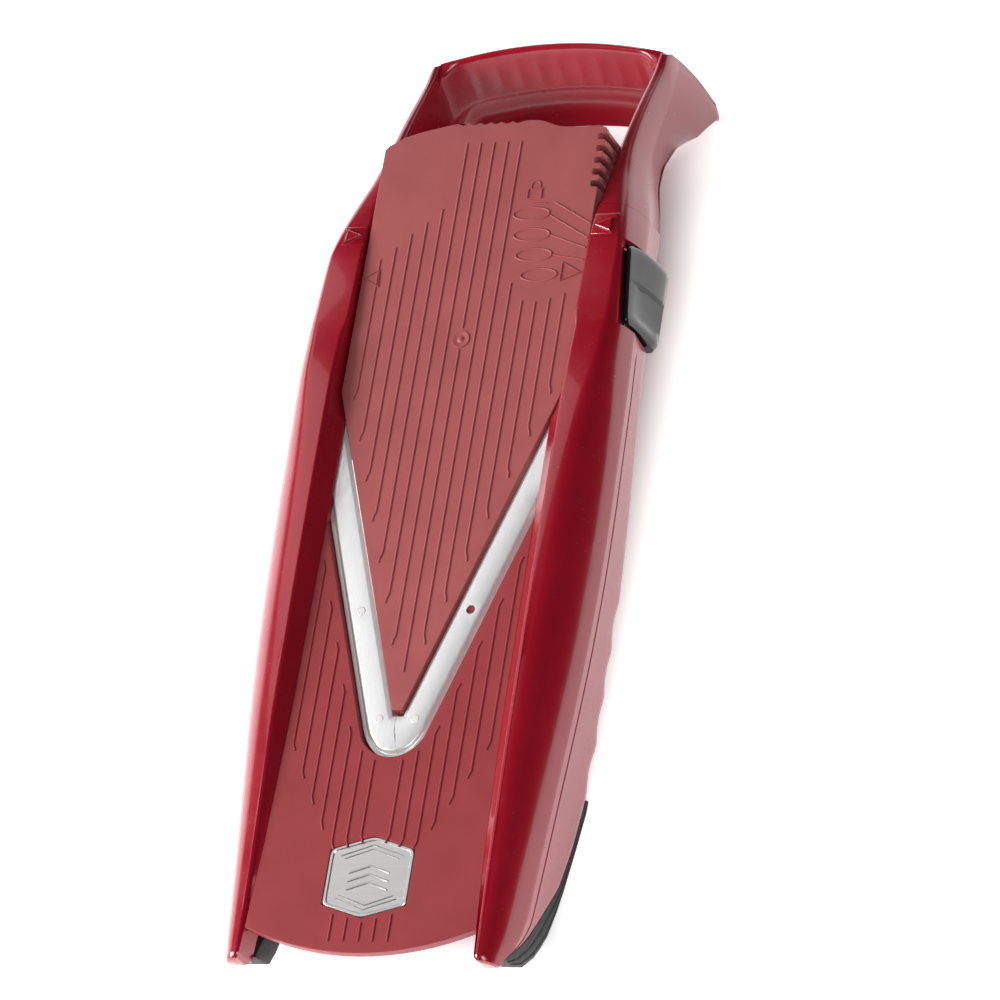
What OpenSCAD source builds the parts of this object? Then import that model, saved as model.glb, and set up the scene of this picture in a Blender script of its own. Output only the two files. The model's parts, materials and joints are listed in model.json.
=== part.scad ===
// V-blade mandoline slicer: a long frame with two rails and a hand grip, a fixed V of two
// blades, and a V-pointed food runway that slides on slanting grooves to set the slice height.
//
// Everything is drawn in the plate frame: x across (release button on +x), y along the
// plate towards the hand grip, z out of the slicing face, with z = 0 at the blades' flat
// top and y = 0 at the two lower blade pins. module placed() stands the slicer on its feet.

/* [Frame] */
// Half width of the frame at its widest point
half_width = 67.6; // [66:0.2:69]
// Wall thickness of the moulded frame
wall = 2.4; // [2:0.1:2.8]
// Height of the run-out plate's surface above the blades' flat top
plate_top = 1.3; // [1:0.1:1.6]
// Thickness of the run-out plate
plate_thick = 4; // [3.5:0.1:4.2]

/* [Hand grip] */
// Distance of the grip's crest from the lower blade pins
grip_y = 298; // [294:1:302]
// Depth of the grip's rear edge below the blades' flat top
grip_depth = 70.5; // [68:0.5:73]
// Width of one finger scallop
finger_pitch = 8.4; // [8:0.1:9]

/* [Blades] */
// Angle between each cutting edge and the slicer's long axis
edge_angle = 18.6; // [18:0.1:19]
// Thickness of the blade steel
blade_thick = 0.8; // [0.6:0.1:1]
// Width of a blade's flat, measured square to the cutting edge
blade_flat = 9.7; // [9:0.1:10]
// Full width of a blade, measured square to the cutting edge
blade_width = 12.3; // [12:0.1:12.6]
// Drop of the blade's outer flange below its flat
blade_drop = 2.5; // [2:0.1:2.8]

/* [Runway insert] */
// Half width of the insert between the rails
insert_half = 45.5; // [45:0.1:45.6]
// Height of the insert's face above the blades in the safe position
insert_rise = 1.3; // [1:0.1:1.6]
// Gap between the insert's V edge and the cutting edge in the safe position
edge_gap = 0.7; // [0.6:0.1:1]
// Slope of the guide grooves
groove_slope = 22.5; // [21:0.5:23]
// Spacing of the thickness notches along the plate
notch_pitch = 5; // [4.8:0.1:5]
// Pitch of the raised ribs
rib_pitch = 5.6; // [5.4:0.1:5.8]

/* [Release lever] */
// Radius of the lever's pivot pin
pin_r = 1.5; // [1.3:0.1:1.7]
// Running clearance round the pivot pin
pin_clearance = 0.05; // [0.02:0.01:0.08]
// How far the button stands proud of the skirt
button_proud = 2.2; // [1.8:0.1:2.6]

/* [Feet] */
// Depth of the feet below the blades' flat top
foot_depth = 41.3; // [40:0.1:42]

/* [Hidden] */
$fn = 48;
eps = 0.05;

// ---- places along the slicer ----
rail_low = -91;          // lower end of the rails and the lip
rail_high = 208;         // where the rails turn into the grip's arms
insert_zone = 120;       // above this line the rails stand clear of the insert
grip_rest_y = 287;       // where the grip's rear edge touches the table
foot_rest_y = -30;       // where the feet touch the table
tilt = atan((grip_depth - foot_depth) / (grip_rest_y - foot_rest_y));

// ---- pawl and pivot ----
pawl_y = 236.2;
pawl_z = -17.4;
lever_thick = 4;
pivot = [54.6, 206];

// ---- the V ----
sin_e = sin(edge_angle);
cos_e = cos(edge_angle);
edge_y0 = -5.4;          // where the two cutting edges' lines would cross
nose_y = -1.5;           // centre of the rounded end of the V
nose_r = (nose_y - edge_y0) * sin_e;

// ---- smooth curves through a few stations ----
function eased(y, table) =
    (lookup(y - 10, table) + lookup(y - 5, table) + lookup(y, table)
     + lookup(y + 5, table) + lookup(y + 10, table)) / 5;

side_stations = [[-100, 50], [-91, 55.5], [-80, 57.9], [-60, 59.4], [-30, 61.8], [0, 64.4],
                 [30, 66.4], [60, 67.4], [90, 67.7], [130, 67.3], [160, 66.2], [190, 64],
                 [208, 61.6], [218, 59], [231, 55], [245, 53.2], [269, 52.6], [284, 52.2],
                 [296, 50], [310, 46]];
widest = max([for (y = [60:2:130]) eased(y, side_stations)]);
function side_x(y) = half_width / widest * eased(y, side_stations);
function crease_z(y) = eased(y, [[-100, 2], [-91, -8], [-80, -13], [-50, -12], [0, -10.4],
    [60, -9.4], [110, -7.6], [160, -7], [190, -11], [208, -15.5], [218, -18.5], [231, -22],
    [245, -25.5], [256, -30], [269, -35], [284, -40.5], [300, -43]]);
function inner_x(y) = y > insert_zone ? 46.2
    : lookup(y, [[-91, 46.3], [-50, 44], [0, 42.6], [50, 42.2], [80, 42]]);
function ridge_x(y) = lookup(y, [[-91, 47.3], [-60, 47], [0, 47.6], [100, 48], [150, 48.2],
    [162, 47], [208, 47], [240, 47.4]]);
function ridge_z(y) = eased(y, [[-91, plate_top], [-80, 1.6], [-60, 2.6], [-30, 4.2], [0, 6],
    [50, 7.4], [100, 7.8], [140, 7.6], [160, 5], [190, 4], [200, 2.8], [208, 0.4], [217, -3],
    [230, -7.2], [238, -10], [250, -14.5], [263, -20], [275, -26], [283, -30], [296, -34]]);
function facet_x(y) = lookup(y, [[-91, 47.8], [-40, 48], [20, 48.4], [60, 49.6], [80, 50.4],
    [100, 51.5], [120, 53.8], [140, 57], [160, 58.4], [190, 58], [208, 53.4], [225, 50],
    [240, 49], [300, 48.4]]);

// Rear edge of the skirts: a hand-shaped wave along the lower half
wave_pitch = 18;
wave_depth = 2.2;
wave_top = 58;
function skirt_base_z(y) = lookup(y, [[-91, -8.5], [-88.5, -9.6], [-81.7, -15.7], [-77, -19.7],
    [-64.8, -27], [-52.3, -34.3], [-35.4, -38], [-17, -39], [5, -37.6], [24, -35], [41, -33.4],
    [58, -31.9], [79, -29.4], [99, -27], [118, -24.6], [137, -22.8], [150, -22.3], [162, -24],
    [190, -25.5], [208, -27], [228, -27.8], [239, -30.5], [251, -37.7], [257, -44.4],
    [264, -52.9], [282, -67.3], [288, -70.4], [300, -70.4]]);
function wave(y, depth) = depth * abs(sin(180 * (wave_top - y) / wave_pitch));
function skirt_z(y) = skirt_base_z(y)
    + (y < wave_top && y > wave_top - 4 * wave_pitch ? wave(y, wave_depth) : 0);

// The table's surface in the plate frame
function floor_z(y) = -foot_depth - (y - foot_rest_y) * tan(tilt);
function foot_z(y) = min(skirt_z(y) - 0.6, max(floor_z(y), wave(y + 2, 0.9)
    + lookup(y, [[-91, -9], [-88.6, -17], [-86.4, -24.9], [-80, -31.5], [-75.7, -34],
                 [-66, -37.8], [-55.4, -41], [-45, -42.8], [-22, -43.4], [-16, -41.4]])));

function reversed(list) = [for (i = [len(list) - 1:-1:0]) list[i]];
function skirt_stations(from, to) = stations(from, to, 3);
function stations(from, to, step) =
    let (n = ceil((to - from) / step)) [for (i = [0:n]) from + (to - from) * i / n];

// A solid through equal-sized closed sections; each section is a list of 3-D points.
// A last section that isn't flat is closed by a fan of triangles round the point tip.
module loft(sections, tip = undef) {
    n = len(sections[0]);
    last = len(sections) - 1;
    polyhedron(
        points = concat([for (s = sections) for (p = s) p], is_undef(tip) ? [] : [tip]),
        faces = concat(
            [[for (i = [0:n - 1]) i]],
            [for (k = [0:last - 1]) for (i = [0:n - 1]) let (j = (i + 1) % n)
                each [[k * n + i, (k + 1) * n + i, (k + 1) * n + j],
                      [k * n + i, (k + 1) * n + j, k * n + j]]],
            is_undef(tip) ? [[for (i = [n - 1:-1:0]) last * n + i]]
                : [for (i = [0:n - 1]) [last * n + (i + 1) % n, last * n + i, (last + 1) * n]]));
}

// The same, for flat sections given in x and z at each y
module loft_along_y(ys, sections) {
    loft([for (k = [0:len(ys) - 1]) [for (p = sections[k]) [p[0], ys[k], p[1]]]]);
}

module mirrored_left() {
    mirror([1, 0, 0]) children();
}

// Stands the plate frame on its feet and the grip's rear edge, origin under its middle
button_x = side_x(90) + button_proud - 0.8;
rest_drop = grip_rest_y * sin(tilt) - grip_depth * cos(tilt);
low_end = rail_low * cos(tilt) - plate_top * sin(tilt);
high_end = (grip_y + 0.8) * cos(tilt) + 56 * sin(tilt);
middle_y = (low_end + high_end) / 2;
middle_x = (button_x - half_width) / 2;
module placed() {
    translate([-middle_x, -middle_y, -rest_drop])
        rotate([tilt, 0, 0])
            children();
}

// ---- frame: rails, arms and skirts ----
shoulder_steps = 6;
function shoulder(y, inset, full = 90) =
    let (x0 = inset > 0 ? max(facet_x(y), inner_x(y) + inset + 0.4) : facet_x(y),
         z0 = ridge_z(y) - 0.2 - inset, x1 = side_x(y) - inset, z1 = crease_z(y))
    [for (k = [0:shoulder_steps]) let (a = full * k / shoulder_steps)
        [x0 + (x1 - x0) * sin(a), z1 + (z0 - z1) * cos(a)]];

// Height of the shoulder's outer face at a place across the slicer
function shoulder_z(y, x) =
    let (part = (x - facet_x(y)) / (side_x(y) - facet_x(y)))
    crease_z(y) + (ridge_z(y) - 0.2 - crease_z(y)) * sqrt(1 - pow(max(part, 0), 2));

// The right rail's shoulder is cut short beside the button
button_low = 158;
button_high = 191;
button_gap = 1.2;
notch_x = 59.6;
function notched(y) = y > button_low - button_gap && y < button_high + button_gap;
function notch_angle(y) = asin((notch_x - facet_x(y)) / (side_x(y) - facet_x(y)));

// A rail is a curved shell, open underneath, with an upright inner wall
function rail_section(y, cut) =
    let (xi = inner_x(y), xw = xi + wall, under = ridge_z(y) - wall,
         full = cut && notched(y) ? notch_angle(y) : 90,
         low = y > insert_zone ? -0.6 : -10, step = y > insert_zone ? 0.1 : plate_top)
    concat([[xi, low], [xi, step], [ridge_x(y) - 0.8, ridge_z(y) - 0.7], [ridge_x(y), ridge_z(y)]],
           shoulder(y, 0, full),
           reversed(shoulder(y, wall, full)),
           [[max(ridge_x(y) + 0.8, xw + 0.2), under], [xw, min(step - 0.3, under - 0.1)],
            [xw, low]]);

module rail(cut) {
    before = button_low - button_gap;
    after = button_high + button_gap;
    ys = concat(stations(rail_low, insert_zone - 1, 7), stations(insert_zone + 1, before - 0.1, 6),
                stations(before + 0.1, after - 0.1, 6), stations(after + 0.1, rail_high, 6));
    loft_along_y(ys, [for (y = ys) rail_section(y, cut)]);
}

module left_rail() {
    color("crimson") placed() mirrored_left() rail(false);
}

module right_rail() {
    color("crimson") placed() rail(true);
}

// A skirt is a thin wall from the crease down to the wavy rear edge
draft = 1.2;
function skirt_section(y) =
    let (x = side_x(y), top = crease_z(y) - 0.1, low = min(skirt_z(y), top - 0.5))
    [[x, top], [x, top - 1.2], [x - draft, low], [x - draft - wall, low],
     [x - wall, top - 1.2], [x - wall, top]];

module skirt(from, to) {
    ys = skirt_stations(from, to);
    loft_along_y(ys, [for (y = ys) skirt_section(y)]);
}

module left_skirt() {
    color("crimson") placed() mirrored_left() skirt(rail_low + 2, rail_high);
}

module right_skirt() {
    color("crimson") placed() {
        skirt(rail_low + 2, button_low - button_gap);
        skirt(button_high + button_gap, rail_high);
    }
}

// An arm carries the rail's lines back and up to the grip. Its lower part has a channel in
// the rear face, where the rail's hollow runs out, and its top follows the grip's crown.
arm_inner = 46.2;
arm_high = 290;
arm_solid = 246;
arm_middle = [50.5, -52];   // x and z of the middle of the arm's end
lever_window = 241;
function arm_section(y, cut) =
    let (xr = side_x(y) + lookup(y, [[208, -0.6], [228, 1.6], [251, 4.6], [264, 6], [288, 7.2]]),
         zr = skirt_z(y), xc = max(side_x(y) - wall - 0.4, arm_inner + wall + 1),
         inner_low = cut && y < lever_window ? ridge_z(y) - 2.6 : zr + 1,
         web = y > arm_solid ? zr + 1.2 : ridge_z(y) - 2 * wall)
    concat([[arm_inner, inner_low], [arm_inner, ridge_z(y) - 2], [arm_inner + 0.8, ridge_z(y)]],
           shoulder(y, 0),
           [[xr, zr + 1.5], [xr - 1.2, zr], [xr - wall, zr],
            [xc, min(web, shoulder_z(y, xc) - wall)],
            [arm_inner + wall + 0.6, web], [arm_inner + wall, min(inner_low, web - 0.5)]]);

// Crown of the grip: how far along the plate its outer face reaches
function crown(x) = grip_y - 7.5 * pow(x / 50, 2);
function crown_y(x, z) = crown(x) + lookup(z, [[-grip_depth, -7], [3.4 - grip_depth, -2.2],
    [-56, 0.8], [-44, 1.2], [-34.5, 0], [-30, -3]]);
function arm_y(y, x, z) =
    y + (crown_y(x, z) - arm_high) * pow((y - rail_high) / (arm_high - rail_high), 2);

// A point of an arm: leaned over to follow the crown, and never below the table
function arm_point(y, p) =
    let (leaned = arm_y(y, p[0], p[1])) [p[0], leaned, max(p[1], floor_z(leaned))];

module arm(cut) {
    ys = concat(stations(rail_high, lever_window - 0.1, 5),
                stations(lever_window + 0.1, arm_solid - 0.5, 5),
                stations(arm_solid + 0.5, arm_high, 4));
    loft([for (y = ys) [for (p = arm_section(y, cut)) arm_point(y, p)]],
         tip = [arm_middle[0], arm_y(arm_high, arm_middle[0], arm_middle[1]), arm_middle[1]]);
}

module left_arm() {
    color("crimson") placed() mirrored_left() arm(false);
}

module right_arm() {
    color("crimson") placed() arm(true);
}

// The grip: a crowned bar whose inner face is scalloped for the fingers
function grip_profile(x) =
    let (hollow = abs(x) < 42 ? 0.7 * abs(sin(180 * x / finger_pitch)) : 0,
         y0 = crown(x))
    [[y0 - 3.2, -34.5], [y0 - 1.6, -33], [y0, -34.5], [y0 + 1.2, -44],
     [y0 + 0.8, -56], [y0 - 2.2, 3.4 - grip_depth], [y0 - 7, floor_z(y0 - 7)],
     [y0 - 12, floor_z(y0 - 12)], [y0 - 16.5, 3 - grip_depth], [y0 - 14.5 + hollow, -60],
     [y0 - 10 + hollow, -50], [y0 - 5.8 + hollow / 2, -41]];

module hand_grip() {
    xs = stations(-arm_inner, arm_inner, finger_pitch / 4);
    color("crimson") placed() loft([for (x = xs) [for (p = grip_profile(x)) [x, p[0], p[1]]]]);
}

// ---- run-out plate ----
// Flat region on the slicing side of a line set off from the cutting edges
module v_region(offset, high) {
    r = nose_r + offset;
    reach = (high - nose_y) / cos_e;
    translate([0, nose_y]) {
        circle(r, $fn = 96);
        polygon([[0, 0],
                 [r * cos_e, -r * sin_e],
                 [r * cos_e + reach * sin_e, -r * sin_e + reach * cos_e],
                 [-r * cos_e - reach * sin_e, -r * sin_e + reach * cos_e],
                 [-r * cos_e, -r * sin_e]]);
    }
}

lip_rise = 9.5;
plate_high = insert_zone - 1;
module plate_outline() {
    ys = stations(rail_low, plate_high, 7);
    inside = [for (y = ys) if (y > rail_low + lip_rise) [inner_x(y), y]];
    lip_half = inner_x(rail_low + lip_rise);
    lip = [for (x = [-lip_half:lip_half / 8:lip_half])
        [x, rail_low + lip_rise * pow(x / lip_half, 2)]];
    polygon(concat(lip, inside, [for (p = reversed(inside)) [-p[0], p[1]]]));
}

bed_low = -5.3;
flange_bed = -blade_drop - blade_thick;
module slab(low, high) {
    translate([0, 0, low]) linear_extrude(high - low) children();
}

badge_y = -61.9;
badge_half = 16.6;
module badge_outline(grow) {
    h = badge_half + grow;
    polygon([[-h, -10.6 - grow / 2], [0, -15.6 - grow], [h, -10.6 - grow / 2],
             [h, 10.6 + grow / 2], [0, 15.6 + grow], [-h, 10.6 + grow / 2]]);
}

module run_out_plate() {
    plate_low = plate_top - plate_thick;
    color("indianred") placed() {
        difference() {
            slab(plate_low, plate_top) difference() {
                plate_outline();
                v_region(blade_width + 0.3, 180);
            }
            translate([0, badge_y, plate_top - 1.2]) linear_extrude(2) badge_outline(0.15);
            for (side = [-1, 1]) translate([side * 6, badge_y, -9]) cylinder(h = 12, r = 1.2);
        }
        slab(bed_low, flange_bed - 0.02) intersection() {
            plate_outline();
            difference() { v_region(blade_width + 2.3, 180); v_region(3, 180); }
        }
        slab(flange_bed - 0.02, plate_low) intersection() {
            plate_outline();
            difference() { v_region(blade_width + 2.3, 180); v_region(blade_width + 0.3, 180); }
        }
        slab(flange_bed - 0.02, -blade_thick - 0.02) intersection() {
            plate_outline();
            difference() { v_region(blade_flat - 0.3, 180); v_region(3, 180); }
        }
        // cross ribs under the plate
        for (y = [-74, -50, -26]) translate([-43, y, -9]) cube([86, 1.8, 9 + plate_low + 0.01]);
    }
}

// ---- blades ----
pin_places = [[7.16, 0], [22, 43]];
nose_flat_y = 1.1;       // flat end of the V between the cutting edges
seam = [[-0.5, 8], [-0.5, -4.7], [2.8, -15.6]];

// Steel between two lines set off from the cutting edges
module steel_band(low, high, inner, outer) {
    slab(low, high) intersection() {
        difference() {
            v_region(outer, 180);
            if (inner > 0) v_region(inner, 180);
            else intersection() {
                v_region(0, 180);
                translate([-80, nose_flat_y]) square([160, 200]);
            }
        }
        translate([0.1 - inner_x(plate_high), -60])
            square([2 * inner_x(plate_high) - 0.2, 60 + plate_high]);
    }
}

module blade_steel() {
    difference() {
        union() {
            steel_band(-blade_thick, 0, 0, blade_flat);
            steel_band(flange_bed, 0, blade_flat - 0.01, blade_flat + 0.9);
            steel_band(flange_bed, -blade_drop, blade_flat + 0.8, blade_width);
        }
        for (p = pin_places) for (side = [-1, 1])
            translate([side * p[0], p[1], -4]) cylinder(h = 8, r = 1.75);
    }
}

// One side of the seam between the two blades, a hair clear of it
module seam_side(side) {
    edge = [for (p = seam) [p[0] + side * 0.05, p[1]]];
    slab(-6, 3) polygon(concat([[edge[0][0], 140]], edge,
                               [[edge[2][0], -20], [side * 80, -20], [side * 80, 140]]));
}

module left_blade() {
    color("gainsboro") placed() intersection() {
        blade_steel();
        seam_side(-1);
    }
}

module right_blade() {
    color("silver") placed() intersection() {
        blade_steel();
        seam_side(1);
    }
}

// Four plastic pins stand on the bed and hold the blades
module blade_pins() {
    color("indianred") placed()
        for (p = pin_places) for (side = [-1, 1])
            translate([side * p[0], p[1], -blade_thick - 0.02])
                cylinder(h = blade_thick, r = 1.7);
}

module badge() {
    color("silver") placed() {
        translate([0, badge_y, plate_top - 1.2]) {
            linear_extrude(0.7) badge_outline(0);
            linear_extrude(1.1) difference() { badge_outline(0); badge_outline(-1.1); }
            linear_extrude(0.9) difference() { badge_outline(-4); badge_outline(-4.7); }
        }
        for (side = [-1, 1]) translate([side * 6, badge_y, -5.2]) cylinder(h = 6, r = 1.15);
    }
}

// ---- feet ----
function foot_section(y) =
    let (x = side_x(y) - draft, top = skirt_z(y) - 0.1, low = foot_z(y))
    [[x - 0.2, top], [x - 0.1, (top + low) / 2], [x - 1.2, low], [x - 8, low],
     [x - 9.4, (top + low) / 2], [x - 9, top]];

module foot() {
    ys = stations(-89, -16, 2.5);
    loft_along_y(ys, [for (y = ys) foot_section(y)]);
}

module left_foot() {
    color("dimgray") placed() mirrored_left() foot();
}

module right_foot() {
    color("dimgray") placed() foot();
}

// ---- guide grooves and runners ----
fin_places = [142, 173];
fin_z = -5;
fin_length = 7;
fin_thick = 2.4;
travel_y = 4 * notch_pitch;
travel = travel_y / cos(groove_slope);
guide_low = 134;
guide_high = 200;

// A bar along the slide direction, in the y-z plane, between two x values
module slanted(x0, x1, y, z, back, ahead, thick) {
    translate([x0, y, z]) rotate([-groove_slope, 0, 0])
        translate([0, -back, -thick / 2]) cube([x1 - x0, back + ahead, thick]);
}

module guide() {
    difference() {
        translate([arm_inner, guide_low, -18]) cube([3.8, guide_high - guide_low, 17.3]);
        for (y = fin_places)
            slanted(arm_inner - 1, arm_inner + 2.6, y, fin_z,
                    fin_length / 2 + 0.3, fin_length / 2 + 0.5 + travel, fin_thick + 0.5);
    }
}

// Bracket on the right guide: it holds the lever's pivot pin and two screw posts
post_r = 2;
module pivot_bracket() {
    difference() {
        union() {
            translate([0, 0, bracket_z]) linear_extrude(3.4) {
                strap([49.4, 196], pivot, 5);
                strap(pivot, posts[1], 4);
                translate(pivot) circle(boss_r);
                translate(posts[1]) circle(post_r);
            }
            for (p = posts) translate([p[0], p[1], cover_z])
                cylinder(h = bracket_z - cover_z + 1, r = post_r);
        }
        translate([pivot[0], pivot[1], bracket_z - 1]) cylinder(h = 6, r = pin_r + 0.01);
        for (p = posts) translate([p[0], p[1], cover_z - 1]) cylinder(h = 8, r = 1.1);
    }
}

module left_guide() {
    color("firebrick") placed() mirrored_left() guide();
}

module right_guide() {
    color("firebrick") placed() {
        guide();
        pivot_bracket();
    }
}

runner_low = -8.5;
runner_start = 136;
insert_thick = 2.6;
module runner(high) {
    translate([insert_half - 2, runner_start, runner_low])
        cube([2, high - runner_start, insert_rise - insert_thick - runner_low]);
    for (y = fin_places)
        slanted(insert_half - eps, arm_inner + 2.2, y, fin_z, fin_length / 2, fin_length / 2, fin_thick);
}

module left_runner() {
    color("indianred") placed() mirrored_left() runner(232);
}

module right_runner() {
    color("indianred") placed() runner(205);
}

// ---- insert ----
insert_edge_y0 = edge_y0 + edge_gap / sin_e;
tip_half = 2.1;
slope = 1 / tan(edge_angle);
crest = 244.5;
notch_deep = 3;
notch_wide = 2.6;
module notches() {
    for (k = [0:4]) translate([insert_half - notch_deep, pawl_y - k * notch_pitch - notch_wide / 2, 0])
        square([notch_deep + 4, notch_wide]);
}

module insert_outline() {
    wide_y = insert_edge_y0 + slope * insert_half;
    difference() {
        polygon([[tip_half, insert_edge_y0 + slope * tip_half], [insert_half, wide_y],
                 [insert_half, 239.3], [44, 240.9], [38, 240.7], [32, 240.8], [26, 241.3],
                 [21, 243.1], [17, 244.4], [13, crest], [7, 244.1], [1, 243.9], [-6, 244.1],
                 [-12, crest], [-16, 244.4], [-24, 243.1], [-32, 241.4], [-38, 239.6],
                 [-insert_half, 235.6], [-insert_half, wide_y],
                 [-tip_half, insert_edge_y0 + slope * tip_half]]);
        notches();
    }
}

module insert_plate() {
    wall_inset = 1.6 / sin_e;
    color("rosybrown") placed() {
        slab(insert_rise - insert_thick, insert_rise) insert_outline();
        // stiffening walls under the V edges
        slab(-5, insert_rise - insert_thick + 0.01) difference() {
            polygon([[tip_half, insert_edge_y0 + slope * tip_half], [42, insert_edge_y0 + slope * 42],
                     [-42, insert_edge_y0 + slope * 42], [-tip_half, insert_edge_y0 + slope * tip_half]]);
            polygon([[0, insert_edge_y0 + wall_inset], [60, insert_edge_y0 + wall_inset + slope * 60],
                     [-60, insert_edge_y0 + wall_inset + slope * 60]]);
        }
        // cross ribs
        for (y = [148, 190, 228]) translate([-43.2, y, -5])
            cube([83, 1.6, 5 + insert_rise - insert_thick + 0.01]);
    }
}

// Raised ribs that keep food from sticking; each starts above the V edge
function rib_low(k) = k == 0 ? 18 : 13.5 + 16.3 * abs(k);
function rib_high(k) =
    k < -2 ? 207.7 + 5.1 * (k + 3)
    : k > 2 ? lookup(k, [[3, 175.4], [4, 168], [5, 167], [6, 168.4], [7, 170]])
    : 235.5;
module insert_ribs() {
    rib_wide = 1;
    rib_tall = 0.5;
    color("rosybrown") placed() translate([0, 0, insert_rise])
        for (k = [-7:7]) translate([k * rib_pitch - rib_wide / 2, rib_low(k), 0])
            cube([rib_wide, rib_high(k) - rib_low(k), rib_tall]);
}

// Notch bar below the insert's right edge, deep enough to meet the pawl at every height
module insert_rack() {
    bar_low = pawl_z - lever_thick / 2 - 1;
    color("rosybrown") placed() difference() {
        translate([0, 0, bar_low]) linear_extrude(insert_rise - insert_thick - bar_low) difference() {
            translate([insert_half - notch_deep - 2.2, 206]) square([notch_deep + 2.2, 33]);
            notches();
        }
        // the lower edge follows the slide direction
        translate([30, pawl_y + 3, bar_low]) rotate([-groove_slope, 0, 0])
            translate([0, -60, -30]) cube([30, 60, 30]);
    }
}

// ---- release lever ----
boss_r = 3.2;
lever_z = pawl_z - lever_thick / 2;
lever_root = [61, 176];
nose_x = insert_half + 0.3;
tail_x = 48.6;
cover_z = -25.4;
bracket_z = -12.6;
posts = [[51.6, 198.4], [48.4, 213.5]];

// Flat bar between two points of the plate plane
module strap(a, b, width) {
    along = b - a;
    translate([a[0], a[1], 0]) rotate(atan2(along[1], along[0]))
        translate([0, -width / 2]) square([norm(along), width]);
}

module latch_lever() {
    tail = [tail_x, pawl_y];
    color("dimgray") placed() difference() {
        translate([0, 0, lever_z]) {
            linear_extrude(lever_thick) {
                strap(lever_root, pivot, 3.6);
                strap(pivot, tail, 3);
                translate(pivot) circle(boss_r);
                translate(tail) circle(1.5);
                translate([nose_x, pawl_y - 0.8]) square([tail_x - nose_x, 1.6]);
            }
            translate([pivot[0], pivot[1], -2.4]) cylinder(h = lever_thick + 2.4, r = boss_r - 0.9);
        }
        translate([pivot[0], pivot[1], lever_z - 6])
            cylinder(h = lever_thick + 12, r = pin_r + pin_clearance);
    }
}

module pivot_pin() {
    color("silver") placed() translate([pivot[0], pivot[1], cover_z + 0.02])
        cylinder(h = bracket_z + 3.4 - cover_z, r = pin_r);
}

// The button: a long block with a chamfered front, a flat press face and a lower lip
module release_button() {
    low = button_low;
    high = button_high;
    color("black") placed() intersection() {
        translate([0, high, 0]) rotate([90, 0, 0]) linear_extrude(high - low)
            polygon([[60.8, -13.2], [60.8, -1], [62.4, 0.6], [64.2, -0.4], [button_x, -6],
                     [button_x, -20], [button_x - 1.6, -26], [62.6, -26], [62.6, -13.2]]);
        translate([0, 0, -40]) linear_extrude(60)
            polygon([[60, low + 2], [63, low], [button_x - 1.4, low], [button_x, low + 2.4],
                     [button_x - 1, low + 9], [button_x - 0.6, low + 16], [button_x, low + 19],
                     [button_x, high - 3.4], [button_x - 1.8, high - 0.6], [63, high - 0.6],
                     [60, high - 3]]);
    }
}

// Torsion spring round the lever's boss: a close coil and two legs
module return_spring() {
    wire_r = 0.45;
    coil_r = pin_r + 1.1;
    low = lever_z + lever_thick + 0.1;
    color("gray") placed() translate([pivot[0], pivot[1], low]) {
        rotate_extrude() translate([coil_r - wire_r, 0]) square([2 * wire_r, 2.2]);
        for (leg = [[-91, 0.5, 9], [-74, 1.6, 9]])
            translate([0, 0, leg[1]]) rotate([0, 90, leg[0]])
                translate([0, 0, coil_r]) cylinder(h = leg[2], r = wire_r);
    }
}

// Cover plate under the lever, with two screws into the bracket's posts
module latch_cover() {
    color("dimgray") placed() difference() {
        translate([0, 0, cover_z - 1.6]) linear_extrude(1.6) {
            strap(posts[0], pivot, 5);
            strap(pivot, posts[1], 4);
            translate(pivot) circle(3);
            for (p = posts) translate(p) circle(post_r);
        }
        for (p = posts) translate([p[0], p[1], cover_z - 3]) cylinder(h = 6, r = 1.1);
    }
}

module cover_screws() {
    color("silver") placed()
        for (p = posts) translate([p[0], p[1], cover_z - 1.6]) {
            cylinder(h = 7, r = 1.08);
            translate([0, 0, -1.2]) cylinder(h = 1.2, r = 1.9);
        }
}

left_rail();
right_rail();
left_skirt();
right_skirt();
left_arm();
right_arm();
hand_grip();
run_out_plate();
left_guide();
right_guide();
left_blade();
right_blade();
blade_pins();
badge();
left_foot();
right_foot();
pivot_pin();
latch_cover();
cover_screws();
insert_plate();
insert_ribs();
left_runner();
right_runner();
insert_rack();
release_button();
latch_lever();
return_spring();
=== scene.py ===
"""Looks of the V-blade mandoline slicer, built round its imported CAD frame.

Shapes are drawn in the plate frame, in millimetres: x across (release button on +x),
y along the plate towards the hand grip, z out of the slicing face, z = 0 on the blades.
TO_ROW carries that frame into the row frame, in metres.
"""

import json
import math

import bmesh
import bpy
from mathutils import Matrix, Vector


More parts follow.
